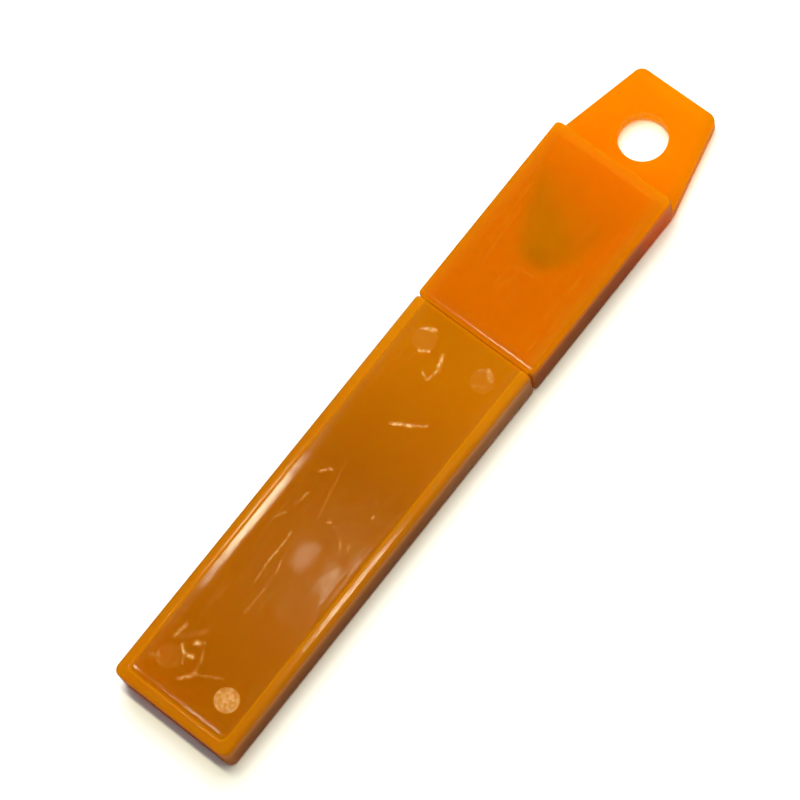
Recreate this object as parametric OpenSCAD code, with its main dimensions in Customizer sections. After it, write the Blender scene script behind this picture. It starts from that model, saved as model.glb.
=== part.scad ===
// Refill case for snap-off knife blades: a flat plastic sleeve, a push-fit cap with a hang tab,
// and the stack of blades inside. The case lies flat, its length runs along X with the hang tab
// at +X, and the origin is at the middle of the underside. Millimetres.

/* [Case body] */
// Width of the sleeve across the blades
body_w = 22; // [21.6:0.1:24]
// Height of the sleeve
body_h = 8.2; // [8:0.1:10]
// Length of the sleeve from its closed end to the seam
body_l = 73.3; // [68:0.1:80]
// Radius of the long edges
edge_r = 0.9; // [0.4:0.1:1.2]
// Radius of the sleeve's closed-end corners seen from above
plan_r = 1.3; // [0.9:0.1:2]
// Radius of the edges at the seam
seam_r = 0.65; // [0.3:0.05:0.65]
// Thickness of the wall at the closed ends
end_wall = 1.2; // [0.8:0.1:2]

/* [Recessed panel] */
// Width of the raised rim around the panel
rim_w = 1.8; // [1.2:0.1:3]
// Depth of the panel below the rim
panel_depth = 0.35; // [0.1:0.05:0.5]
// Radius of the panel's corners at the closed end
panel_r = 0.8; // [0.4:0.1:2]
// Diameter of the round ejector marks in the panel
mark_d = 4; // [2:0.5:6]
// Depth of the ejector marks
mark_depth = 0.1; // [0.05:0.05:0.2]
// Distance of the marks from each end of the sleeve
mark_inset = 6; // [4:0.5:15]
// Distance between the two rows of marks
mark_row = 11.2; // [8:0.2:12]

/* [Neck] */
// Length of the neck past the seam
neck_l = 27; // [20:0.5:30]
// Thickness of the neck's wall
neck_wall = 0.6; // [0.5:0.05:0.8]
// Gap between the neck and the cap on each side
neck_gap = 0.1; // [0.05:0.05:0.2]
// Radius of the round bottom of the thumb notch
notch_r = 4.7; // [3:0.1:6]
// Length of the thumb notch from the neck's mouth
notch_l = 13.3; // [10:0.1:18]
// Half of the angle by which the notch's sides flare
notch_flare = 22; // [10:1:24]

/* [Cap] */
// Length of the cap without its tab
cap_l = 34.7; // [31.5:0.1:40]
// How far the cap stands proud of the sleeve on each side
cap_proud = 0.1; // [0:0.05:0.2]
// Radius of the edges and corners of the cap's closed end
cap_end_r = 0.8; // [0.4:0.1:0.9]
// Width of the open seam between the sleeve and the cap
seam_gap = 0.1; // [0.05:0.05:0.3]

/* [Hang tab] */
// Length of the tab past the cap's end
tab_l = 15.8; // [14:0.1:20]
// Width of the tab where it leaves the cap
tab_root_w = 22.1; // [18:0.1:22.1]
// Width of the tab at its free end
tab_end_w = 15.3; // [12:0.1:18]
// Thickness of the tab
tab_t = 2.5; // [2:0.1:4]
// Height of the tab's underside above the cap's underside
tab_lift = 1; // [0:0.1:2]
// Radius of the tab's free corners
tab_r = 1.6; // [0.5:0.1:3]
// Diameter of the hang hole
hole_d = 8; // [6:0.5:9]
// Distance of the hang hole's centre from the cap's end
hole_x = 6.6; // [6:0.1:9]

/* [Blades] */
// Number of blades in the stack
blade_count = 10; // [10:1:10]
// Length of a blade from its point to its far tail corner
blade_l = 100; // [90:0.5:100]
// Width of a blade
blade_w = 18; // [17:0.5:18]
// Thickness of a blade
blade_t = 0.5; // [0.4:0.02:0.5]
// Angle of the ends and the score lines from square
blade_slant = 30; // [20:1:35]
// Width of the ground bevel along the cutting edge
bevel_w = 2.4; // [1:0.1:3]
// Number of score lines
score_count = 7; // [5:1:7]
// Distance between score lines along the blade
score_pitch = 10; // [8:0.5:10]
// Depth of the score lines
score_depth = 0.12; // [0.05:0.01:0.15]
// Diameter of the hole in the blade's tail
blade_hole_d = 5.5; // [4:0.5:6]
// Gap between neighbouring blades
blade_gap = 0.02; // [0.01:0.01:0.03]
// Clear space around the stack inside the neck
stack_play = 0.1; // [0.05:0.05:0.2]

/* [Hidden] */

plastic = [0.86, 0.42, 0.04];
cap_plastic = [0.95, 0.47, 0.03];
steel = [0.62, 0.63, 0.64];

$fn = 48;
eps = 0.01;
over = 5;                                      // how far a cutter runs past a face

total_l = body_l + seam_gap + cap_l + tab_l;
closed_x = -total_l / 2;                       // the sleeve's closed end
shoulder_x = closed_x + body_l;                // the sleeve's shoulder at the seam
cap_x0 = shoulder_x + seam_gap;                // the cap's mouth
cap_x1 = cap_x0 + cap_l;                       // the cap's end
mouth_x = shoulder_x + neck_l;                 // the neck's mouth

cap_w = body_w + 2 * cap_proud;
cap_h = body_h + 2 * cap_proud;
mid_z = cap_h / 2;

stack_h = blade_count * blade_t + (blade_count - 1) * blade_gap;
cavity_h = stack_h + 2 * stack_play;
cavity_w = 19;
neck_h = cavity_h + 2 * neck_wall;
neck_w = cavity_w + 2 * neck_wall;

blade_x0 = closed_x + end_wall + 0.1;          // the blades' points
blade_z0 = mid_z - stack_h / 2;                // underside of the lowest blade
slant_run = blade_w * tan(blade_slant);

// A rectangle from x = 0 to l, centred in y, with corners of radius r_low at 0 and r_high at l
module round_rect(l, w, r_low, r_high) {
    translate([r_low, -w / 2]) square([l - r_low - r_high, w]);
    translate([0, r_low - w / 2]) square([2 * r_low, w - 2 * r_low]);
    translate([l - 2 * r_high, r_high - w / 2]) square([2 * r_high, w - 2 * r_high]);
    for (side = [-1, 1]) {
        translate([r_low, side * (w / 2 - r_low)]) circle(r = r_low);
        translate([l - r_high, side * (w / 2 - r_high)]) circle(r = r_high);
    }
}

// A block of length l along X, centred in Y and Z. low and high give the radii of the corners
// seen from above and of the upper and lower edges, at its -X end and at its +X end.
module round_block(l, w, h, low, high) {
    intersection() {
        translate([0, 0, -h / 2]) linear_extrude(h) round_rect(l, w, low[0], high[0]);
        translate([0, w / 2, 0]) rotate([90, 0, 0]) linear_extrude(w)
            round_rect(l, h, low[1], high[1]);
        translate([0, -w / 2, 0]) rotate([90, 0, 90]) linear_extrude(l)
            round_rect(w, h, edge_r, edge_r);
    }
}

// The recessed panel of one broad face, open towards the seam
module panel_cut() {
    panel_w = body_w - 2 * rim_w;
    panel_l = body_l - rim_w + over;
    translate([closed_x + rim_w, 0, -panel_depth])
        linear_extrude(over) round_rect(panel_l, panel_w, panel_r, panel_r);
}

// The four round marks that the ejector pins leave in the upper panel
module ejector_marks() {
    for (x = [closed_x + mark_inset + 1, shoulder_x - mark_inset + 1], y = [-1, 1] * mark_row / 2)
        translate([x, y, -panel_depth - mark_depth]) cylinder(h = over, d = mark_d);
}

// Plan of the U-shaped thumb notch, its round bottom towards the closed end
module notch_plan() {
    centre_x = mouth_x - notch_l + notch_r;
    tangent_x = centre_x - notch_r * sin(notch_flare);
    tangent_y = notch_r * cos(notch_flare);
    open_x = mouth_x + 1;
    open_y = tangent_y + (open_x - tangent_x) * tan(notch_flare);
    translate([centre_x, 0]) circle(r = notch_r);
    polygon([
        [tangent_x, -tangent_y], [open_x, -open_y],
        [open_x, open_y], [tangent_x, tangent_y]
    ]);
}

// The sleeve and its neck, one moulding
module case_body() {
    color(plastic)
    translate([0, 0, mid_z])
    difference() {
        union() {
            translate([closed_x, 0, 0])
                round_block(body_l, body_w, body_h, [plan_r, edge_r / 2], [seam_r, seam_r]);
            translate([shoulder_x - 1, -neck_w / 2, -neck_h / 2])
                cube([neck_l + 1, neck_w, neck_h]);
        }
        translate([closed_x + end_wall, -cavity_w / 2, -cavity_h / 2])
            cube([body_l + neck_l, cavity_w, cavity_h]);
        for (side = [0, 1]) mirror([0, 0, side])
            translate([0, 0, body_h / 2]) panel_cut();
        translate([0, 0, body_h / 2]) ejector_marks();
        translate([0, 0, -body_h]) linear_extrude(2 * body_h) notch_plan();
    }
}

// Plan of the hang tab: it narrows towards two round corners, and its root lies in the end wall
module tab_plan() {
    hull() {
        translate([cap_x1 - cap_end_r, -tab_root_w / 2]) square([cap_end_r, tab_root_w]);
        for (side = [-1, 1])
            translate([cap_x1 + tab_l - tab_r, side * (tab_end_w / 2 - tab_r)]) circle(r = tab_r);
    }
}

// The cap with its hang tab, one moulding
module cap() {
    socket_w = neck_w + 2 * neck_gap;
    socket_h = neck_h + 2 * neck_gap;
    color(cap_plastic)
    difference() {
        union() {
            translate([cap_x0, 0, mid_z])
                round_block(cap_l, cap_w, cap_h, [seam_r, seam_r], [cap_end_r, cap_end_r]);
            translate([0, 0, tab_lift]) linear_extrude(tab_t) tab_plan();
        }
        translate([cap_x0 - eps, -socket_w / 2, mid_z - socket_h / 2])
            cube([cap_l - end_wall + eps, socket_w, socket_h]);
        translate([cap_x1 + hole_x, 0, -over]) cylinder(h = cap_h + 2 * over, d = hole_d);
    }
}

// Cross-section of a blade: the spine at +Y, the cutting edge ground from both faces at -Y
module blade_section() {
    tip_t = 0.04;
    polygon([
        [blade_w / 2, 0], [blade_w / 2, blade_t],
        [-blade_w / 2 + bevel_w, blade_t], [-blade_w / 2, (blade_t + tip_t) / 2],
        [-blade_w / 2, (blade_t - tip_t) / 2], [-blade_w / 2 + bevel_w, 0]
    ]);
}

// Outline of a blade from its point at the origin's side: a parallelogram
module blade_plan() {
    polygon([
        [0, -blade_w / 2], [blade_l - slant_run, -blade_w / 2],
        [blade_l, blade_w / 2], [slant_run, blade_w / 2]
    ]);
}

// One score line: a shallow groove in the upper face, parallel to the blade's end
module score_cut(x) {
    translate([x, -blade_w / 2, blade_t])
        rotate([0, 0, -blade_slant])
            translate([0, blade_w * 0.6, 0])
                rotate([90, 0, 0])
                    linear_extrude(blade_w * 1.6, center = true)
                        polygon([[-score_depth, over / 10], [-score_depth, 0], [0, -score_depth],
                                 [score_depth, 0], [score_depth, over / 10]]);
}

// One blade, number i from the bottom of the stack
module blade(i) {
    hole_at = blade_l - slant_run / 2 - 9;
    color(steel)
    translate([blade_x0, 0, blade_z0 + (i - 1) * (blade_t + blade_gap)])
    difference() {
        intersection() {
            linear_extrude(blade_t) blade_plan();
            translate([-over, 0, 0]) rotate([90, 0, 90]) linear_extrude(blade_l + 2 * over)
                blade_section();
        }
        for (k = [1:score_count]) score_cut(k * score_pitch);
        translate([hole_at, 0, -over]) cylinder(h = 2 * over, d = blade_hole_d);
    }
}

case_body();
cap();
blade(1);  // blade_01
blade(2);  // blade_02
blade(3);  // blade_03
blade(4);  // blade_04
blade(5);  // blade_05
blade(6);  // blade_06
blade(7);  // blade_07
blade(8);  // blade_08
blade(9);  // blade_09
blade(10);  // blade_10
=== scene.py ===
"""Looks of the snap-off blade refill case: sleeve, push-fit cap with hang tab, and ten blades.

Lengths are in millimetres and become metres where a mesh, material, lamp or camera is made.
"""

import math

import bmesh
import bpy
import numpy as np
from mathutils import Matrix, Vector


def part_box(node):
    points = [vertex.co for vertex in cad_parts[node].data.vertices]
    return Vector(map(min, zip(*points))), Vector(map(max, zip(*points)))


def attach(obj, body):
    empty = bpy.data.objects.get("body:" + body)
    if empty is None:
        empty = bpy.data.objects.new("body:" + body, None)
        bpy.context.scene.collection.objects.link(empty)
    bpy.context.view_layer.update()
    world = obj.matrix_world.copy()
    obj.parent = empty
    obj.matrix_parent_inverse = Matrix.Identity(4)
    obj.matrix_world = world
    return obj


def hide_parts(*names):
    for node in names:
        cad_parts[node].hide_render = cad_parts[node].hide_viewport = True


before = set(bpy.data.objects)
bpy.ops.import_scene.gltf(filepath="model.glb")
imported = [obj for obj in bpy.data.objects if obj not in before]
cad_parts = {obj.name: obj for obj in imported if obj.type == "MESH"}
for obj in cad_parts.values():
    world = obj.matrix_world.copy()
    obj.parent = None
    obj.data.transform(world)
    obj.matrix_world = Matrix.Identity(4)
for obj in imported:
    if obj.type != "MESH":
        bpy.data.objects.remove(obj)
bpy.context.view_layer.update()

MM = 0.001
SAME = 1e-6                     # positions closer than this, in millimetres, are the same
BLADES = sorted(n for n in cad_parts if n.startswith("blade_"))

# ---------------------------------------------------------------- places, from the frame


def box_mm(node):
    """Lowest and highest corner of a CAD node, in millimetres."""
    low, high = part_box(node)
    return np.array(low) / MM, np.array(high) / MM


body_low, body_high = box_mm("case_body")
cap_low, cap_high = box_mm("cap")
stack_low, stack_high = box_mm(BLADES[0])[0], box_mm(BLADES[-1])[1]

CLOSED_X = body_low[0]          # closed end of the sleeve
MOUTH_X = body_high[0]          # mouth of the neck
CAP_X0 = cap_low[0]             # mouth of the cap
MID_Z = (cap_low[2] + cap_high[2]) / 2
BODY_W = body_high[1] - body_low[1]
BODY_H = body_high[2] - body_low[2]
CAP_W = cap_high[1] - cap_low[1]
CAP_H = cap_high[2] - cap_low[2]

# ---------------------------------------------------------------- sizes
# They are the CAD model's, except for soft shapes that it leaves out and where a comment says so

SEAM_GAP = 0.1
SHOULDER_X = CAP_X0 - SEAM_GAP
END_WALL = 1.2
EDGE_R = 0.9                    # long edges
PLAN_R = 1.3                    # the sleeve's closed-end corners seen from above
BODY_END_R = 0.45               # upper and lower edges of the sleeve's closed end
CAP_END_R = 0.8                 # edges and corners of the cap's closed end
SEAM_R = 0.65                   # edges at the seam
MOUTH_L = 1.4                   # over this length, the cap's broad faces
MOUTH_FALL = 0.12               # fall this much towards its mouth
MOUTH_R = 0.45                  # and end there in edges of this radius
TAB_L = 15.8
CAP_X1 = cap_high[0] - TAB_L    # end of the cap, root of the tab

RIM_W = 1.5                     # the CAD model's straight step stands at 1.8
PANEL_DEPTH = 0.35
PANEL_R = 1.2                   # the CAD model's corners are 0.8
PANEL_STEP = 0.3                # the slope from the rim down to the panel flattens at this rate
PANEL_EDGE = 0.35               # width of the rounding at the top of that slope
CAP_BAND_W = 1.8                # soft border along the sides of the cap's broad faces
CAP_BAND_L = 1.2                # and along their ends
CAP_BAND_DEPTH = 0.06           # how far the middle of those faces lies below the border
CAP_BAND_STEP = 0.9             # width of the slope between them

MARK_D = 4.0                    # round ejector marks, two pairs
MARK_DEPTH = 0.05               # shallower than the CAD model's 0.1
MARK_STEP = 0.5
MARK_Y = 5.6
MARK_X = (CLOSED_X + 7.0, SHOULDER_X - 5.0)

CAVITY_W = 19.0
STACK_PLAY = 0.1                # room above and below the stack of blades
CAVITY_H = stack_high[2] - stack_low[2] + 2 * STACK_PLAY
CAVITY_R = 0.2
NECK_WALL = 0.6
NECK_W = CAVITY_W + 2 * NECK_WALL
NECK_H = CAVITY_H + 2 * NECK_WALL
NECK_R = 0.3
NECK_LIP_R = 0.15
NECK_GAP = 0.1                  # between the neck and the cap's socket
SOCKET_LIP_R = 0.1
NOTCH_L = 13.3
NOTCH_R = 4.7
NOTCH_FLARE = math.radians(22)

TAB_T = 2.5
TAB_LIFT = 1.0
TAB_ROOT_W = 22.1
TAB_END_W = 15.3
TAB_R = 1.6
TAB_EDGE_R = 0.35
HOLE_D = 8.0
HOLE_X = CAP_X1 + 6.6
DRILL_SPARE = 2.0               # how far the tool that cuts the hole stands out of the tab

# Numbers of steps
SIDE_STEPS = 10                 # down each side wall
EDGE_STEPS = 8                  # round each long edge
BODY_END_STEPS = 9              # round the sleeve's ends
CAP_END_STEPS = 11              # and the cap's
NECK_STEPS = 23                 # along the neck
CAVITY_STEPS = 39               # along the inside of the sleeve
SOCKET_STEPS = 23               # along the inside of the cap
LIP_TURNS = (0, 30, 60, 90)     # degrees round a lip
TAB_CORNER_STEPS = 8
HOLE_SIDES = 96
MARK_MARGIN = 0.2               # fine steps reach this far past a mark
END_MARGIN = 0.1                # and past the slopes at the ends of the cap's broad faces


# ---------------------------------------------------------------- mesh tools


def smoothstep(x):
    x = np.clip(x, 0.0, 1.0)
    return x * x * (3 - 2 * x)


def spaced(*parts):
    """Positions that join (start, end, steps) stretches, without repeats."""
    found = [np.linspace(a, b, n + 1) for a, b, n in parts]
    joined = np.concatenate(found)
    keep = np.append(np.abs(np.diff(joined)) > SAME, True)
    return joined[keep]


def mirrored(half):
    """Positions from -end to end, from those between 0 and end."""
    half = np.sort(np.asarray(half))
    return np.concatenate([-half[::-1], half[half > SAME]])


def round_section(half_w, half_h, r, top_t, bottom_t, side_steps, arc_steps):
    """Y and Z round a rectangle with round corners, and which points lie on the top or bottom flat.

    top_t and bottom_t say where the flats' points lie, from -1 to 1 of the flat's half width.
    """
    flat_y, flat_z = half_w - r, half_h - r
    side_t = np.linspace(1, -1, side_steps + 1)
    turn = np.linspace(0, math.pi / 2, arc_steps + 1)[1:-1]
    y, z, face = [], [], []

    def add(ys, zs, name):
        y.extend(ys)
        z.extend(zs)
        face.extend([name] * len(ys))

    add(top_t * flat_y, np.full(len(top_t), half_h), 1)
    add(flat_y + r * np.sin(turn), flat_z + r * np.cos(turn), 0)
    add(np.full(len(side_t), half_w), side_t * flat_z, 0)
    add(flat_y + r * np.cos(turn), -flat_z - r * np.sin(turn), 0)
    add(-bottom_t * flat_y, np.full(len(bottom_t), -half_h), -1)
    add(-flat_y - r * np.sin(turn), -flat_z - r * np.cos(turn), 0)
    add(np.full(len(side_t), -half_w), -side_t * flat_z, 0)
    add(-flat_y - r * np.cos(turn), flat_z + r * np.sin(turn), 0)
    return np.array(y), np.array(z), np.array(face)


def end_inset(t, r):
    """How far a round edge of radius r draws a section in, at a distance t from the end."""
    t = np.clip(t, 0, r)
    return r - np.sqrt(r * r - (r - t) ** 2)


def end_shares(steps):
    """Shares of an end's edge radius, closest together at the end."""
    return 1 - np.cos(np.linspace(0, math.pi / 2, steps + 1))


def lip_offsets(r, turn):
    """How far a round lip of radius r lies inwards and backwards, after a turn in degrees."""
    turn = math.radians(turn)
    return r * (1 - math.cos(turn)), r * (1 - math.sin(turn))


def new_object(name, bm):
    """An object from a bmesh in millimetres, in metres, with outward normals."""
    bmesh.ops.recalc_face_normals(bm, faces=bm.faces)
    mesh = bpy.data.meshes.new(name)
    bm.to_mesh(mesh)
    bm.free()
    mesh.transform(Matrix.Scale(MM, 4))
    ob = bpy.data.objects.new(name, mesh)
    bpy.context.scene.collection.objects.link(ob)
    return ob


def loft(name, rings):
    """A closed object from rings of the same number of points, joined one to the next."""
    bm = bmesh.new()
    rows = [[bm.verts.new(p) for p in ring] for ring in rings]
    for a, b in zip(rows, rows[1:]):
        for i in range(len(a)):
            j = (i + 1) % len(a)
            bm.faces.new((a[i], a[j], b[j], b[i]))
    bm.faces.new(rows[0][::-1])
    bm.faces.new(rows[-1])
    return new_object(name, bm)


def plate(name, outline, base, height):
    """A flat plate with a given outline, from a base height upwards."""
    bm = bmesh.new()
    face = bm.faces.new([bm.verts.new((p.x, p.y, base)) for p in outline])
    made = bmesh.ops.extrude_face_region(bm, geom=[face])
    raised = [v for v in made["geom"] if isinstance(v, bmesh.types.BMVert)]
    bmesh.ops.translate(bm, verts=raised, vec=(0, 0, height))
    return new_object(name, bm)


def smooth(ob, sharp_angle=32, face_weight=60):
    """Smooth shading with sharp edges past an angle, and flat faces kept flat beside round edges."""
    ob.data.shade_smooth()
    ob.data.set_sharp_from_angle(angle=math.radians(sharp_angle))
    weighted = ob.modifiers.new("weighted", "WEIGHTED_NORMAL")
    weighted.keep_sharp = True
    weighted.weight = face_weight


def apply_modifiers(ob):
    """Gives an object the mesh that its modifiers make."""
    evaluated = ob.evaluated_get(bpy.context.evaluated_depsgraph_get())
    mesh = bpy.data.meshes.new_from_object(evaluated)
    ob.modifiers.clear()
    ob.data = mesh


def apply_boolean(ob, other, operation):
    """Joins another object to this one, or cuts it away, and removes the other."""
    join = ob.modifiers.new("join", "BOOLEAN")
    join.operation = operation
    join.solver = "MANIFOLD"
    join.object = other
    apply_modifiers(ob)
    bpy.data.objects.remove(other)


def round_edges(ob, r, steps=4, sharp_angle=40):
    """Rounds the edges that are sharper than an angle."""
    bevel = ob.modifiers.new("bevel", "BEVEL")
    bevel.width = r * MM
    bevel.segments = steps
    bevel.limit_method = "ANGLE"
    bevel.angle_limit = math.radians(sharp_angle)
    apply_modifiers(ob)


# ---------------------------------------------------------------- case body


def panel_drop(x, y):
    """How far the sleeve's broad face lies below its rim."""
    past_x = CLOSED_X + RIM_W + PANEL_R - x
    past_y = np.abs(y) - (BODY_W / 2 - RIM_W - PANEL_R)
    outside = np.hypot(np.maximum(past_x, 0), np.maximum(past_y, 0))
    inside = PANEL_R - outside - np.minimum(np.maximum(past_x, past_y), 0)
    slope = 1 - np.exp(-np.maximum(inside, 0) / PANEL_STEP)
    return PANEL_DEPTH * slope * smoothstep(inside / PANEL_EDGE)


def mark_drop(x, y):
    """Depth of the ejector marks in the upper panel."""
    drop = np.zeros_like(y)
    for cx in MARK_X:
        away = np.hypot(x - cx, np.abs(y) - MARK_Y)
        drop = drop + MARK_DEPTH * smoothstep((MARK_D / 2 - away) / MARK_STEP)
    return drop


def notch_x(y):
    """Where the neck ends at each y: the mouth, cut back by the U-shaped thumb notch."""
    centre = MOUTH_X - NOTCH_L + NOTCH_R
    tangent_x = centre - NOTCH_R * math.sin(NOTCH_FLARE)
    tangent_y = NOTCH_R * math.cos(NOTCH_FLARE)
    away = np.abs(y)
    bottom = centre - np.sqrt(np.maximum(NOTCH_R**2 - away**2, 0))
    flare = tangent_x + (away - tangent_y) / math.tan(NOTCH_FLARE)
    return np.minimum(np.where(away < tangent_y, bottom, flare), MOUTH_X)


def body_rings():
    """Rings of the sleeve, from its closed end over the outside and the neck to the inside."""
    rim_in = BODY_W / 2 - RIM_W
    flat = BODY_W / 2 - EDGE_R
    mark_r = MARK_D / 2 + MARK_MARGIN
    mark_in, mark_out = MARK_Y - mark_r, MARK_Y + mark_r
    slope_w = 3 * PANEL_STEP
    step_in = rim_in - slope_w
    top_y = mirrored(spaced(
        (0, mark_in, 7), (mark_in, mark_out, 24), (mark_out, step_in, 1),
        (step_in, rim_in, 12), (rim_in, flat, 3)))
    bottom_y = mirrored(spaced((0, step_in, 14), (step_in, rim_in, 8), (rim_in, flat, 2)))
    sizes = (top_y / flat, bottom_y / flat, SIDE_STEPS, EDGE_STEPS)

    def shell_ring(x):
        """One ring of the outer shell, drawn in near both ends."""
        seam_inset = end_inset(SHOULDER_X - x, SEAM_R)
        half_w = BODY_W / 2 - end_inset(x - CLOSED_X, PLAN_R) - seam_inset
        half_h = BODY_H / 2 - end_inset(x - CLOSED_X, BODY_END_R) - seam_inset
        y, z, face = round_section(half_w, half_h, EDGE_R, *sizes)
        xs = np.full(len(y), x)
        drop = panel_drop(xs, y) + np.where(face == 1, mark_drop(xs, y), 0)
        return np.stack([xs, y, MID_Z + z - face * drop], 1)

    def inner_ring(half_w, half_h, r, start, share, back=0.0):
        """One ring of the neck or cavity, at a share of the way from start to the neck's edge."""
        y, z, face = round_section(half_w, half_h, r, *sizes)
        edge = np.where(face == 0, MOUTH_X, notch_x(y)) - back
        return np.stack([start + share * (edge - start), y, MID_Z + z], 1)

    first, last = MARK_X
    panel_x = CLOSED_X + RIM_W
    stations = spaced(
        (CLOSED_X + PLAN_R, panel_x, 2), (panel_x, panel_x + slope_w, 12),
        (panel_x + slope_w, first - mark_r, 3), (first - mark_r, first + mark_r, 24),
        (first + mark_r, last - mark_r, 60), (last - mark_r, last + mark_r, 24),
        (last + mark_r, SHOULDER_X - SEAM_R, 4))
    shares = end_shares(BODY_END_STEPS)
    rings = [shell_ring(CLOSED_X + PLAN_R * share) for share in shares[:-1]]
    rings += [shell_ring(x) for x in stations]
    rings += [shell_ring(SHOULDER_X - SEAM_R * share) for share in shares[::-1][1:]]

    neck_w, neck_h = NECK_W / 2, NECK_H / 2
    for share in np.linspace(0, 1, NECK_STEPS + 1):
        rings.append(inner_ring(neck_w, neck_h, NECK_R, SHOULDER_X, share, NECK_LIP_R))
    for turn in LIP_TURNS[1:]:
        inwards, back = lip_offsets(NECK_LIP_R, turn)
        rings.append(inner_ring(neck_w - inwards, neck_h - inwards, NECK_R, SHOULDER_X, 1, back))
    cavity_w, cavity_h = CAVITY_W / 2, CAVITY_H / 2
    for turn in LIP_TURNS[::-1]:
        outwards, back = lip_offsets(NECK_LIP_R, turn)
        rings.append(inner_ring(
            cavity_w + outwards, cavity_h + outwards, CAVITY_R, SHOULDER_X, 1, back))
    inner_x = CLOSED_X + END_WALL
    for share in np.linspace(1, 0, CAVITY_STEPS + 1)[1:]:
        rings.append(inner_ring(cavity_w, cavity_h, CAVITY_R, inner_x, share, NECK_LIP_R))
    return rings


# ---------------------------------------------------------------- cap


def band_drop(x, y):
    """How far the middle of the cap's broad faces lies below their soft border."""
    past_side = CAP_W / 2 - CAP_BAND_W - np.abs(y)
    past_end = np.minimum(x - CAP_X0, CAP_X1 - x) - CAP_BAND_L
    return CAP_BAND_DEPTH * smoothstep(np.minimum(past_side, past_end) / CAP_BAND_STEP)


def mouth_fall(x):
    """How far the cap's broad faces fall towards its mouth."""
    share = max(0.0, 1 - (x - CAP_X0) / MOUTH_L)
    return MOUTH_FALL * share**3 + end_inset(x - CAP_X0, MOUTH_R)


def cap_rings():
    """Rings of the cap, from its closed end over the outside to the inside of the socket."""
    flat = CAP_W / 2 - EDGE_R
    band_out = CAP_W / 2 - CAP_BAND_W
    band_in = band_out - CAP_BAND_STEP
    flat_y = mirrored(spaced((0, band_in, 14), (band_in, band_out, 6), (band_out, flat, 3)))
    sizes = (flat_y / flat, flat_y / flat, SIDE_STEPS, EDGE_STEPS)
    socket_w, socket_h = NECK_W / 2 + NECK_GAP, NECK_H / 2 + NECK_GAP

    def shell_ring(x):
        """One ring of the outer shell, drawn in near both ends."""
        end = end_inset(CAP_X1 - x, CAP_END_R)
        half_w = CAP_W / 2 - end - end_inset(x - CAP_X0, SEAM_R)
        half_h = CAP_H / 2 - end - mouth_fall(x)
        y, z, face = round_section(half_w, half_h, EDGE_R, *sizes)
        xs = np.full(len(y), x)
        return np.stack([xs, y, MID_Z + z - face * band_drop(xs, y)], 1)

    def socket_ring(x, outwards=0.0):
        """One ring of the socket, which widens at its lip."""
        y, z, _ = round_section(
            socket_w + outwards, socket_h + outwards, NECK_R + outwards, *sizes)
        return np.stack([np.full(len(y), x), y, MID_Z + z], 1)

    border = CAP_BAND_L + CAP_BAND_STEP + END_MARGIN
    stations = spaced(
        (CAP_X0 + SEAM_R, CAP_X0 + MOUTH_L, 12), (CAP_X0 + MOUTH_L, CAP_X0 + border, 3),
        (CAP_X0 + border, CAP_X1 - border, 50), (CAP_X1 - border, CAP_X1 - CAP_END_R, 5))
    shares = end_shares(CAP_END_STEPS)
    rings = [shell_ring(CAP_X1 - CAP_END_R * share) for share in shares[:-1]]
    rings += [shell_ring(x) for x in stations[::-1]]
    rings += [shell_ring(CAP_X0 + SEAM_R * share) for share in shares[::-1][1:]]
    for turn in LIP_TURNS[::-1]:
        outwards, back = lip_offsets(SOCKET_LIP_R, turn)
        rings.append(socket_ring(CAP_X0 + back, outwards))
    inside = np.linspace(CAP_X0 + SOCKET_LIP_R, CAP_X1 - END_WALL, SOCKET_STEPS + 1)
    rings += [socket_ring(x) for x in inside[1:]]
    return rings


def tab_outline():
    """Outline of the tab, from its root on the +Y side round its end to the -Y side."""
    centre = Vector((CAP_X1 + TAB_L - TAB_R, TAB_END_W / 2 - TAB_R))
    root = Vector((CAP_X1, TAB_ROOT_W / 2))
    reach = centre - root
    slope = math.atan2(-reach.y, reach.x) - math.asin(TAB_R / reach.length)
    turns = np.linspace(math.pi / 2 - slope, 0, TAB_CORNER_STEPS + 1)
    arc = [centre + TAB_R * Vector((math.cos(a), math.sin(a))) for a in turns]
    half = [root - Vector((CAP_END_R, 0)), root, *arc]
    return half + [Vector((p.x, -p.y)) for p in half[::-1]]


def make_tab():
    """The tab as a plate with round edges and a through hole."""
    hole_r = HOLE_D / 2
    turns = np.linspace(0, 2 * math.pi, HOLE_SIDES + 1)[:-1]
    hole = [Vector((HOLE_X + hole_r * math.cos(a), hole_r * math.sin(a))) for a in turns]
    tab = plate("tab", tab_outline(), TAB_LIFT, TAB_T)
    drill = plate("hang_hole", hole, TAB_LIFT - DRILL_SPARE, TAB_T + 2 * DRILL_SPARE)
    apply_boolean(tab, drill, "DIFFERENCE")
    round_edges(tab, TAB_EDGE_R)
    return tab


# ---------------------------------------------------------------- materials


WALL_PAINTED_SHADE = (0.6, 0.5, 0.5)      # painted shade: the side walls' colour and glow are darkened by this
HOLE_PAINTED_SHADE = 0.35                 # share of that painted shade on the walls of the hang hole
PANEL_PAINTED_SHADE = 0.86               # painted shade: the sleeve's recessed panel, over the steel, is darkened to this share
WORN_AND_GLINT_COLOUR = (1.0, 0.72, 0.34)  # whitened plastic at scuffs and frosted marks, pale enough to be a painted glint too
CLOUD_GAIN = 1.06                # the paler clouds in the colour

# Share of the light that passes through a surface of the plastic
THROUGH_SHARE = 0.8              # on the clear part of the sleeve
SHOULDER_THROUGH_SHARE = 0.68       # near the shoulder, where the sleeve turns brighter
CAP_THROUGH_SHARE = 0.83         # on the cap
WORN_THROUGH_SHARE = 0.42        # part of that share which is left where the surface is worn
SHOULDER_BRIGHTER_X = (-16.0, SHOULDER_X - 8)  # the sleeve lets less light through between these, and turns brighter
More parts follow.
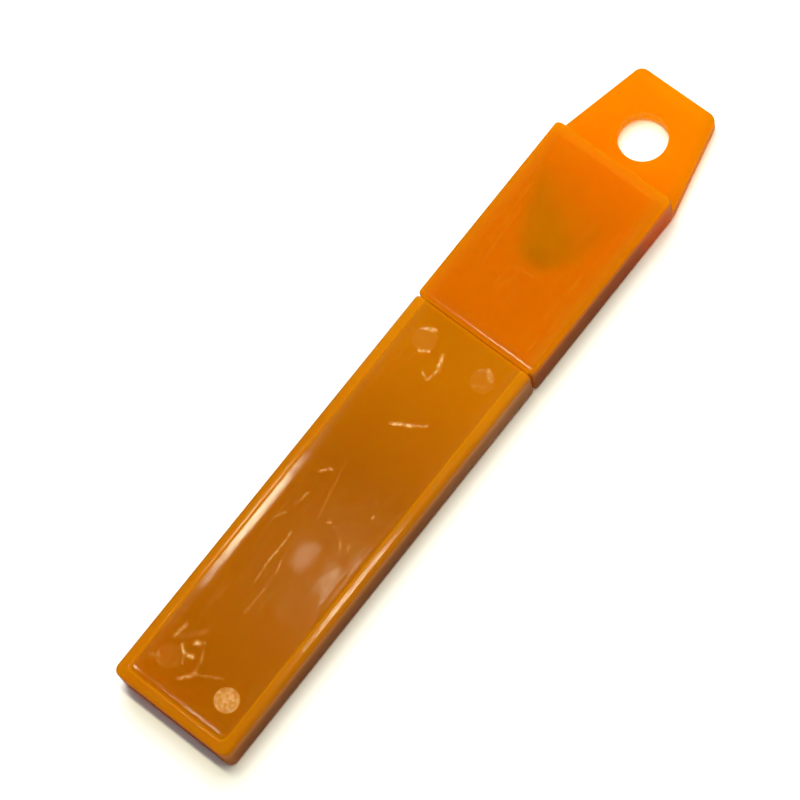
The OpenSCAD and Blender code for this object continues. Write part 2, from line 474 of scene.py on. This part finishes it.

# Which surface is which
RIM_Z = MID_Z + BODY_H / 2       # top of the sleeve
PANEL_Z = RIM_Z - PANEL_DEPTH
CAP_TOP_Z = cap_high[2] - CAP_BAND_DEPTH
UPRIGHT = (0.2, 0.7)             # Z of the normal: a side wall has less, a broad face more
END_WALL_X = CLOSED_X + 0.6      # the outside of the closed end lies before this
TAB_X = (CAP_X1 + 0.5, CAP_X1 + 1)  # the cap gives way to the tab between these
CAP_OUTSIDE_Y = NECK_W / 2 + 0.2    # the outer walls lie beyond this
TAB_OUTSIDE_Y = HOLE_D / 2 + 1      # and beyond this on the tab
PANEL_LOW = (0.05, 0.3)          # heights above the panel, between which its painted shade ends
RAISED = (0.002, 0.012)          # heights above a broad face's middle, where its border begins
END_SLOPE_X = (CLOSED_X + 2.8, CLOSED_X + 4)  # the gloss changes between these
RIM_FADE = 0.04                  # and over this height up to the rims

FROST_R = MARK_D / 2 - 0.1
FROST_SOFT = 0.15
# Which ejector mark: its place in MARK_X, its side of the case, and how frosted it is; the strongest
# is also a painted glint
FROSTED_MARKS = ((0, -1, 0.65), (1, -1, 0.07), (0, 1, 0.1), (1, 1, 0.08))
# Scuffs, whitened also as painted glints: distance from the closed end and y, at both ends of each,
# then the width and the strength
SCUFFS = (
    (9.8, 6.8, 12.3, 6.6, 0.45, 0.6), (9.6, 5.1, 8.4, 3.9, 0.35, 1.0),
    (8.4, 3.9, 7.2, 3.3, 0.3, 0.7), (8.7, 3.6, 9.1, 2.6, 0.5, 1.0),
    (10.9, 3.6, 11.1, 3.1, 0.6, 1.0), (5.2, 2.3, 6.1, 1.3, 0.4, 0.8),
    (6.1, 1.3, 7.3, 0.7, 0.4, 0.7), (7.2, 0.4, 9.2, -3.1, 0.3, 0.35),
    (5.6, 7.8, 6.2, 6.6, 0.5, 0.35), (7.1, 0.8, 9.8, 1.4, 0.3, 0.3),
    (9.8, 1.4, 11.8, 2.6, 0.3, 0.3), (10.4, 5.9, 13.4, 3.2, 0.6, 0.2),
    (23.3, 2.4, 27.0, 2.7, 0.25, 0.35), (26.3, 2.8, 32.7, 2.8, 0.3, 0.6),
    (26.3, 0.6, 28.4, 1.3, 0.25, 0.5), (18.8, 0.6, 23.6, 0.6, 0.25, 0.3),
    (36.8, 0.9, 46.5, 3.3, 0.25, 0.2), (37.2, -0.7, 37.4, -0.9, 0.45, 0.8),
    (35.0, -4.6, 36.3, -3.7, 0.35, 0.6), (35.6, -5.8, 36.4, -5.4, 0.35, 0.6),
    (41.7, -5.5, 41.9, -5.5, 0.4, 0.6), (42.6, 5.4, 44.0, 4.0, 0.35, 0.5),
    (33.3, 6.1, 34.5, 5.5, 0.35, 0.4), (36.6, 5.1, 38.9, 4.6, 0.35, 0.4),
    (54.8, 1.5, 56.4, -1.3, 0.4, 1.0), (56.4, -1.3, 57.8, -3.3, 0.3, 0.6),
    (69.6, 6.8, 70.3, 5.1, 0.45, 1.0), (66.5, 5.1, 67.1, 3.9, 0.4, 1.0),
    (63.9, 2.6, 63.5, 1.2, 0.3, 0.6), (63.5, 1.2, 65.6, 0.9, 0.35, 0.7),
    (65.6, 0.9, 67.8, 1.8, 0.45, 0.9), (69.1, -6.5, 70.1, -5.3, 0.6, 0.6),
    (66.7, -4.6, 67.7, -6.4, 0.25, 0.4),
)
# Polished streaks, given in the same way
POLISHED = (
    (30.3, -1.2, 32.0, -1.0, 2.3, 1.0), (28.9, -6.6, 31.5, -6.4, 2.0, 0.7),
    (26.9, -7.7, 31.2, -7.8, 0.9, 1.0), (32.5, -7.7, 38.0, -7.9, 0.6, 0.4),
)
CAP_SCUFFS = ((85.3, 1.2, 85.8, -2.0, 0.25, 0.2),)

# Weight of the clear gloss, which is 1 on the slopes beside the rims and the cap's border
POLISH = 0.5                     # on the polished streaks
DULL_POLISH = 0.02               # on the rest of the broad faces
RIM_POLISH = 0.45                # on the rims
END_POLISH = 0.4                 # on the slope beside the closed end
WALL_POLISH = 0.4                # on the side walls

WAVE_HEIGHT = 0.02               # slow waves in the surface
HAIR_DEPTH = 0.002               # fine lines along it
GRAIN_DEPTH = 0.0025
SCUFF_DEPTH = 0.03
GRIND_HEIGHT = 0.01              # grinding lines along the steel
WANDER = 0.6                     # scuffs stray from a straight line by up to half of this

# Noise, in features per metre and levels of detail
WAVES = (260, 1)
GRAIN = (2500, 1)
STRAY_SCALE = 900
# Noise on stretched places has the stretch's features per metre, times its own first number
HAIR_STRETCH = (250, 5000, 300)
SCRATCH_STRETCH = (120, 5000, 300)
SCRATCH_TURN = 0.35              # keeps the scratches off the hairs, which are stretched alike
GRIND_STRETCH = (400, 6000, 6000)
HAIRS = (1, 2)                   # on HAIR_STRETCH
GRIND = (1, 4)                   # on GRIND_STRETCH
# Noise patterns: the same two numbers, then the span of noise values and what it becomes
CLOUDS = (60, 3, 0.35, 0.65, 0.0, 1.0)
GLOSS_SPOTS = (200, 4, 0.3, 0.7, 0.10, 0.16)     # roughness
FROST_GRAIN = (1800, 2, 0.35, 0.65, 0.4, 1.0)
SCUFF_GRAIN = (1500, 2, 0.38, 0.6, 0.3, 1.0)
SCRATCH_LINES = (1, 2, 0.6, 0.75, 0.0, 1.0)      # on SCRATCH_STRETCH
SCRATCH_PATCHES = (90, 2, 0.45, 0.6, 0.0, 0.15)
BRIGHT_HAIRS = (1.5, 2, 0.6, 0.7, 0.0, 0.15)     # on HAIR_STRETCH
OIL_FILM = (180, 3, 0.4, 0.6, 0.0, 1.0)
DARK_STEEL = (0.22, 0.22, 0.22)
PALE_STEEL = (0.26, 0.26, 0.26)


def tinted(colour, tint):
    """A colour times a tint."""
    return tuple(a * b for a, b in zip(colour, tint))


class Graph:
    """A material's nodes, made one call at a time."""

    def __init__(self, name):
        self.material = bpy.data.materials.new(name)
        self.material.use_nodes = True
        self.nodes = self.material.node_tree.nodes
        self.links = self.material.node_tree.links
        self.shader = self.nodes["Principled BSDF"]

    def set(self, node, name, value):
        """Links an input of a node to another node's output, or gives it a plain value."""
        socket = node.inputs[name]
        if isinstance(value, bpy.types.NodeSocket):
            self.links.new(value, socket)
        else:
            socket.default_value = value

    def node(self, kind, inputs, **settings):
        """A new node with its settings and inputs."""
        made = self.nodes.new(kind)
        for name, value in settings.items():
            setattr(made, name, value)
        for name, value in inputs.items():
            self.set(made, name, value)
        return made

    def coordinate(self, kind):
        """A texture coordinate, such as Object or Normal."""
        return self.node("ShaderNodeTexCoord", {}).outputs[kind]

    def parts(self, vector):
        """The X, Y and Z of a vector."""
        return self.node("ShaderNodeSeparateXYZ", {0: vector}).outputs

    def math(self, operation, a, b=0.0):
        return self.node("ShaderNodeMath", {0: a, 1: b}, operation=operation).outputs[0]

    def noise(self, place, scale, detail):
        """Noise from about 0.3 to 0.7, with so many features per metre."""
        inputs = {"Vector": place, "Scale": scale, "Detail": detail}
        return self.node("ShaderNodeTexNoise", inputs).outputs["Fac"]

    def stretched(self, place, scale, turn=0.0):
        """Places stretched along X, Y and Z, then turned about Z."""
        inputs = {"Vector": place, "Scale": scale, "Rotation": (0, 0, turn)}
        return self.node("ShaderNodeMapping", inputs).outputs[0]

    def remap(self, value, low, high, to_low=0.0, to_high=1.0):
        """to_low at the value low, to_high at high, even between them and level beyond."""
        inputs = {"Value": value, "From Min": low, "From Max": high,
                  "To Min": to_low, "To Max": to_high}
        return self.node("ShaderNodeMapRange", inputs, clamp=True).outputs[0]

    def between(self, value, ends, to_low=0.0, to_high=1.0):
        """The same, between two places in millimetres."""
        return self.remap(value, ends[0] * MM, ends[1] * MM, to_low, to_high)

    def pattern(self, place, pattern):
        """One of the noise patterns above."""
        scale, detail, *spans = pattern
        return self.remap(self.noise(place, scale, detail), *spans)

    def mix(self, factor, a, b):
        """Colour a where the factor is 0, and b where it is 1."""
        made = self.node("ShaderNodeMix", {}, data_type="RGBA")
        self.set(made, 0, factor)
        for index, value in ((6, a), (7, b)):
            if not isinstance(value, bpy.types.NodeSocket):
                value = (*value, 1.0)
            self.set(made, index, value)
        return made.outputs[2]

    def vector(self, operation, a, b=(0, 0, 0)):
        """A vector operation, with a number or a vector as its result."""
        made = self.node("ShaderNodeVectorMath", {0: a, 1: b}, operation=operation)
        return made.outputs["Value" if operation in ("LENGTH", "DOT_PRODUCT") else "Vector"]

    def scaled(self, a, factor):
        """A vector or colour times a number."""
        made = self.nodes.new("ShaderNodeVectorMath")
        made.operation = "SCALE"
        self.set(made, 0, a)
        self.set(made, 3, factor)
        return made.outputs["Vector"]

    def near(self, place, point, radius, soft):
        """1 within radius of a point, falling to 0 over the soft width."""
        away = self.vector("LENGTH", self.vector("SUBTRACT", place, point))
        return self.remap(away, radius, radius + soft, 1.0, 0.0)

    def stroke(self, place, start, end, width):
        """1 on the line from start to end, 0 at half the width beside it, and less farther out.

        It has few clamped nodes, because a material with too many of them renders black.
        """
        start, along = Vector(start), Vector(end) - Vector(start)
        past = self.vector("SUBTRACT", place, start)
        share = self.vector("DOT_PRODUCT", past, along / along.length_squared)
        share = self.math("MINIMUM", self.math("MAXIMUM", share, 0.0), 1.0)
        on_line = self.scaled(along, share)
        away = self.vector("LENGTH", self.vector("SUBTRACT", past, on_line))
        return self.math("SUBTRACT", 1.0, self.math("DIVIDE", away, width / 2))

    def bump(self, height, distance, strength=1.0, normal=None):
        """A normal that follows a height of 0 to 1 times a distance, on top of another normal."""
        inputs = {"Height": height, "Distance": distance, "Strength": strength}
        if normal is not None:
            inputs["Normal"] = normal
        return self.node("ShaderNodeBump", inputs).outputs[0]


def frosted(g, place):
    """How frosted and whitened the floors of the ejector marks are; on one, the whitening is also a
    painted glint.
    """
    frost = 0.0
    for mark, side, strength in FROSTED_MARKS:
        centre = Vector((MARK_X[mark], side * MARK_Y, PANEL_Z - MARK_DEPTH)) * MM
        disc = g.near(place, centre, FROST_R * MM, FROST_SOFT * MM)
        frost = g.math("ADD", frost, g.math("MULTIPLY", disc, strength))
    return g.math("MULTIPLY", frost, g.pattern(place, FROST_GRAIN))


def scuffed(g, place, scuffs, z):
    """How scuffed the surface at height z is, along slightly wandering lines."""
    cells = g.node("ShaderNodeTexNoise", {"Vector": place, "Scale": STRAY_SCALE}).outputs["Color"]
    wander = g.scaled(g.vector("SUBTRACT", cells, (0.5, 0.5, 0.5)), WANDER * MM)
    wandered = g.vector("ADD", place, wander)
    wear = 0.0
    for x0, y0, x1, y1, width, strength in scuffs:
        start = Vector((CLOSED_X + x0, y0, z)) * MM
        end = Vector((CLOSED_X + x1, y1, z)) * MM
        line = g.stroke(wandered, start, end, 2 * width * MM)
        wear = g.math("MAXIMUM", wear, g.math("MULTIPLY", line, strength))
    return g.math("MULTIPLY", wear, g.pattern(place, SCUFF_GRAIN))


def fine_scratches(g, place):
    """Faint hairlines along the case, in patches."""
    along = g.stretched(place, SCRATCH_STRETCH, SCRATCH_TURN)
    return g.math("MULTIPLY", g.pattern(along, SCRATCH_LINES), g.pattern(place, SCRATCH_PATCHES))


def side_walls(g, upright, spot):
    """1 on the outer side walls, HOLE_PAINTED_SHADE on the hang hole's walls, and 0 elsewhere: where
    shade is painted, and where walls are glossier.
    """
    aside = g.math("ABSOLUTE", spot["Y"])
    outside = g.between(spot["X"], TAB_X, CAP_OUTSIDE_Y * MM, TAB_OUTSIDE_Y * MM)
    outer = g.math("GREATER_THAN", aside, outside)
    outer = g.math("MAXIMUM", outer, g.math("LESS_THAN", spot["X"], END_WALL_X * MM))
    on_tab = g.math("GREATER_THAN", spot["X"], TAB_X[1] * MM)
    hole = g.math("MULTIPLY", on_tab, HOLE_PAINTED_SHADE)
    return g.math("MULTIPLY", upright, g.math("MAXIMUM", outer, hole))


def plastic_normal(g, place, hairs, wear):
    """Slow waves, fine lines, grain and scuffs in the plastic's surface."""
    normal = g.bump(g.noise(place, *WAVES), WAVE_HEIGHT * MM)
    normal = g.bump(g.noise(hairs, *HAIRS), HAIR_DEPTH * MM, normal=normal)
    normal = g.bump(g.noise(place, *GRAIN), GRAIN_DEPTH * MM, normal=normal)
    return g.bump(wear, -SCUFF_DEPTH * MM, normal=normal)


def plastic_material(name, is_sleeve, z, scuffs, polished, orange, glow):
    """Milky orange plastic, which lets most light through: the steel shows dimly where it is near.

    z is the height of the broad upper face, which has the scuffs and polished streaks. Orange is
    the colour of the surface, and glow that of the light that comes through; both carry painted
    shade on the side walls and on the sleeve's panel.
    """
    g = Graph(name)
    place = g.coordinate("Object")
    s = g.shader
    facing_up = g.math("ABSOLUTE", g.parts(g.coordinate("Normal"))["Z"])
    upright = g.remap(facing_up, *UPRIGHT, 1.0, 0.0)
    spot = g.parts(place)
    walls = side_walls(g, upright, spot)
    paler = tuple(min(1.0, CLOUD_GAIN * c) for c in orange)
    colour = g.mix(g.pattern(place, CLOUDS), orange, paler)
    # Painted shade: the sleeve's recessed panel, over the steel, is darker than its rim
    shade = 1.0
    if is_sleeve:
        shade = g.between(spot["Z"], (z + PANEL_LOW[0], z + PANEL_LOW[1]), PANEL_PAINTED_SHADE, 1.0)
    # Painted shade: the side walls and the hang hole's walls are darkened
    colour = g.mix(walls, g.scaled(colour, shade), tinted(orange, WALL_PAINTED_SHADE))
    wear = g.math("MAXIMUM", scuffed(g, place, scuffs, z), fine_scratches(g, place))
    if is_sleeve:
        wear = g.math("MAXIMUM", wear, frosted(g, place))
    hairs = g.stretched(place, HAIR_STRETCH)
    normal = plastic_normal(g, place, hairs, wear)
    # Scuffs and frosted marks are whitened, partly as wear and partly as painted glints
    g.set(s, "Base Color", g.mix(wear, colour, WORN_AND_GLINT_COLOUR))
    g.set(s, "Roughness", g.pattern(place, GLOSS_SPOTS))
    g.set(s, "Specular IOR Level", 0.03)
    g.set(s, "Normal", normal)
    g.set(s, "IOR", 1.49)
    g.set(s, "Subsurface Weight", 1.0)
    g.set(s, "Subsurface Radius", (1.0, 0.4, 0.1))
    g.set(s, "Subsurface Scale", 0.0006)

    raised = g.between(spot["Z"], (z + RAISED[0], z + RAISED[1]))
    gloss = 1.0
    if is_sleeve:
        slope = g.between(spot["X"], END_SLOPE_X, END_POLISH, 1.0)
        gloss = g.between(spot["Z"], (RIM_Z - RIM_FADE, RIM_Z), slope, RIM_POLISH)
    polish = g.remap(scuffed(g, place, polished, z), 0.0, 1.0, DULL_POLISH, POLISH)
    polish = g.math("MAXIMUM", polish, g.math("MULTIPLY", walls, WALL_POLISH))
    polish = g.math("MAXIMUM", polish, g.pattern(hairs, BRIGHT_HAIRS))
    g.set(s, "Coat Weight", g.math("MAXIMUM", g.math("MULTIPLY", raised, gloss), polish))
    g.set(s, "Coat Roughness", 0.06)
    g.set(s, "Coat IOR", 1.59)
    g.set(s, "Coat Normal", normal)

    # The same painted shade, on the panel and the walls, for the light that comes through
    lit = g.mix(walls, g.scaled(glow, shade), tinted(glow, WALL_PAINTED_SHADE))
    through = g.node("ShaderNodeBsdfTranslucent", {"Color": lit})
    clear = CAP_THROUGH_SHARE
    if is_sleeve:
        # Less light passes through towards the shoulder, which makes that end brighter
        clear = g.between(spot["X"], SHOULDER_BRIGHTER_X, THROUGH_SHARE, SHOULDER_THROUGH_SHARE)
    share = g.math("MULTIPLY", clear, g.remap(wear, 0.0, 1.0, 1.0, WORN_THROUGH_SHARE))
    both = g.node("ShaderNodeMixShader", {0: share, 1: s.outputs[0], 2: through.outputs[0]})
    g.links.new(both.outputs[0], g.nodes["Material Output"].inputs["Surface"])
    return g.material


def steel_material():
    """Ground steel with a faint film of oil."""
    g = Graph("blade_steel")
    place = g.coordinate("Object")
    s = g.shader
    grind = g.noise(g.stretched(place, GRIND_STRETCH), *GRIND)
    g.set(s, "Base Color", g.mix(g.pattern(place, OIL_FILM), DARK_STEEL, PALE_STEEL))
    g.set(s, "Metallic", 1.0)
    g.set(s, "Roughness", g.remap(grind, 0.3, 0.7, 0.28, 0.42))
    g.set(s, "Normal", g.bump(grind, GRIND_HEIGHT * MM, 0.5))
    return g.material


def floor_material():
    g = Graph("pale_floor")
    g.set(g.shader, "Base Color", (0.94, 0.94, 0.96, 1))
    g.set(g.shader, "Roughness", 0.9)
    return g.material


# ---------------------------------------------------------------- pieces

case_plastic = plastic_material(
    "case_plastic", is_sleeve=True, z=PANEL_Z, scuffs=SCUFFS, polished=POLISHED,
    orange=(0.94, 0.37, 0.001), glow=(0.94, 0.57, 0.02))
cap_plastic = plastic_material(
    "cap_plastic", is_sleeve=False, z=CAP_TOP_Z, scuffs=CAP_SCUFFS, polished=(),
    orange=(0.96, 0.42, 0.001), glow=(0.97, 0.59, 0.02))
steel = steel_material()


def take(ob, material, body, slot, *nodes):
    """Gives a new piece its material, and its CAD body and nodes; slot is not used."""
    ob.data.materials.clear()
    ob.data.materials.append(material)
    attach(ob, body)
    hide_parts(*nodes)


case_shell = loft("case_shell", body_rings())
smooth(case_shell)
take(case_shell, case_plastic, "case_body", "case_plastic", "case_body")

cap_shell = loft("cap_shell", cap_rings())
apply_boolean(cap_shell, make_tab(), "UNION")
smooth(cap_shell)
take(cap_shell, cap_plastic, "cap", "case_plastic", "cap")

for name in BLADES:
    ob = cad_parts[name]
    ob.data.materials.clear()
    ob.data.materials.append(steel)

# ---------------------------------------------------------------- stage, lamps and camera

AIM_X = CLOSED_X + 54.0          # the point of the underside that the camera is set out from
DISTANCE = 550.0
LEAN_X = math.radians(8.5)       # the camera stands towards the closed end
LEAN_Y = math.radians(14.5)      # and towards the near side
TURN = math.radians(51.2)        # how far the case's length is turned from level in the picture
VIEW_W = 121.766                 # width of what the picture shows at that distance
AIM_RIGHT, AIM_UP = -0.1, 7.2    # from the point to the middle of the picture
SENSOR_W = 36
CLIP = (10, 10000)               # the nearest and farthest that the camera sees

FLOOR_HALF = 1500
FLOOR_GAP = 0.01                 # keeps the floor clear of the faces that stand on it
WORLD_LIGHT = 0.18
STRIP_X, STRIP_Y = 64, -2        # the strip lamp hangs straight above this place
STRIP_Z = 900
STRIP_L = 477                    # across the case


def make_camera():
    """A camera that looks at the case from the photo's angle."""
    away = Vector((-math.sin(LEAN_X) * math.cos(LEAN_Y), -math.sin(LEAN_Y),
                   math.cos(LEAN_X) * math.cos(LEAN_Y))).normalized()
    along = (Vector((1, 0, 0)) - away * away.x).normalized()
    across = away.cross(along)
    right = math.cos(TURN) * along - math.sin(TURN) * across
    up = math.sin(TURN) * along + math.cos(TURN) * across
    origin = Vector((AIM_X, 0, 0))
    eye = origin + away * DISTANCE
    target = origin + right * AIM_RIGHT + up * AIM_UP
    back = (eye - target).normalized()
    right = up.cross(back).normalized()
    up = back.cross(right)
    camera = bpy.data.objects.new("camera", bpy.data.cameras.new("camera"))
    bpy.context.scene.collection.objects.link(camera)
    turn = Matrix((right, up, back)).transposed().to_4x4()
    camera.matrix_world = Matrix.Translation(eye * MM) @ turn
    camera.data.sensor_width = SENSOR_W
    camera.data.lens = SENSOR_W * DISTANCE / VIEW_W
    camera.data.clip_start = CLIP[0] * MM
    camera.data.clip_end = CLIP[1] * MM
    bpy.context.scene.camera = camera


def area_lamp(name, place, aim, size, watts, colour):
    """A square lamp that faces the place it is aimed at."""
    data = bpy.data.lights.new(name, "AREA")
    data.energy = watts
    data.size = size * MM
    data.color = colour
    ob = bpy.data.objects.new(name, data)
    bpy.context.scene.collection.objects.link(ob)
    ob.location = Vector(place) * MM
    ob.rotation_mode = "QUATERNION"
    ob.rotation_quaternion = (Vector(place) - Vector(aim)).to_track_quat("Z", "Y")
    return ob


def make_floor():
    """A plain floor just below the case."""
    bm = bmesh.new()
    bmesh.ops.create_grid(bm, x_segments=8, y_segments=8, size=FLOOR_HALF)
    bmesh.ops.translate(bm, verts=bm.verts, vec=(0, 0, -FLOOR_GAP))
    ob = new_object("floor", bm)
    ob.data.materials.append(floor_material())


make_camera()
make_floor()
world = bpy.data.worlds.new("studio")
bpy.context.scene.world = world
world.use_nodes = True
background = world.node_tree.nodes["Background"]
background.inputs["Color"].default_value = (1, 1, 1, 1)
background.inputs["Strength"].default_value = WORLD_LIGHT
key = area_lamp("key", place=(200, 150, 580), aim=(0, 0, 0), size=500, watts=4.4,
                colour=(0.97, 0.97, 1))
key.visible_glossy = False
strip = area_lamp("strip", place=(STRIP_X, STRIP_Y, STRIP_Z), aim=(STRIP_X, STRIP_Y, 0), size=46,
                  watts=4.9, colour=(1, 0.95, 0.6))
strip.data.shape = "RECTANGLE"
strip.data.size_y = STRIP_L * MM
bpy.context.scene.view_settings.view_transform = "Standard"
